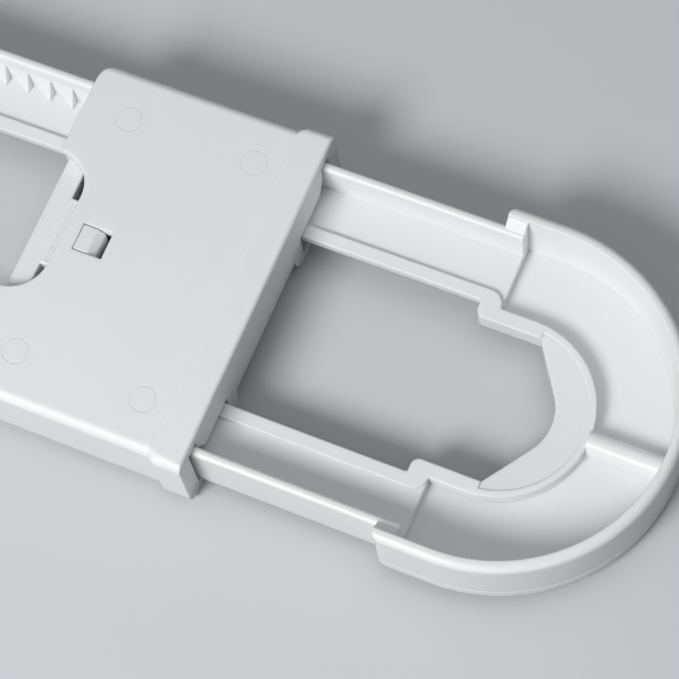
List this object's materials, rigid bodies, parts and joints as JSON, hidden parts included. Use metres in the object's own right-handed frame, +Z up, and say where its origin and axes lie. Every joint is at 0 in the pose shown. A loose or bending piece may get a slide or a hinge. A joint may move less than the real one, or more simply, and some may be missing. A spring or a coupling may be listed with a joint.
{
  "type": "sliding cabinet safety lock",
  "caption": "U-shaped sliding cabinet lock: a toothed shackle runs through a housing whose push button draws in sprung pawls.",
  "frame": {"origin": "centre of the bounding box in plan, on the surface that the housing lies on", "axes": "+X along the arms towards the bend of the U, +Y across the arms, +Z up out of the back face, whose channels are open"},
  "size_m": [0.19, 0.0738, 0.0192],
  "materials": {
    "shackle_plastic": "satin white moulded plastic",
    "housing_plastic": "satin white moulded plastic",
    "button_plastic": "satin white moulded plastic",
    "pawl_plastic": "plain white moulded plastic",
    "spring_steel": "drawn wire"
  },
  "bodies": {
    "housing": {"front_shell": "housing_plastic", "back_cover": "housing_plastic", "left_spring": "spring_steel", "right_spring": "spring_steel"},
    "shackle": {"shackle": "shackle_plastic"},
    "button": {"release_button": "button_plastic"},
    "pawl_left": {"left_pawl": "pawl_plastic"},
    "pawl_right": {"right_pawl": "pawl_plastic"}
  },
  "joints": [
    {"name": "shackle_slide", "type": "slide", "parent": "housing", "child": "shackle", "axis": [1, 0, 0], "range_m": [-0.035, 0.115]},
    {"name": "button_press", "type": "slide", "parent": "housing", "child": "button", "axis": [1, 0, 0], "range_m": [0, 0.0016], "stiffness_N_per_m": 600, "springref_m": -0.002},
    {"name": "left_pawl_draw", "type": "slide", "parent": "housing", "child": "pawl_left", "axis": [0, 1, 0], "range_m": [-0.002, 0], "deforming": ["left_spring"]},
    {"name": "right_pawl_draw", "type": "slide", "parent": "housing", "child": "pawl_right", "axis": [0, 1, 0], "range_m": [0, 0.002], "deforming": ["right_spring"]}
  ],
  "couplings": [
    {"joint": "left_pawl_draw", "follows": "button_press", "ratio": -1.25},
    {"joint": "right_pawl_draw", "follows": "button_press", "ratio": 1.25}
  ]
}
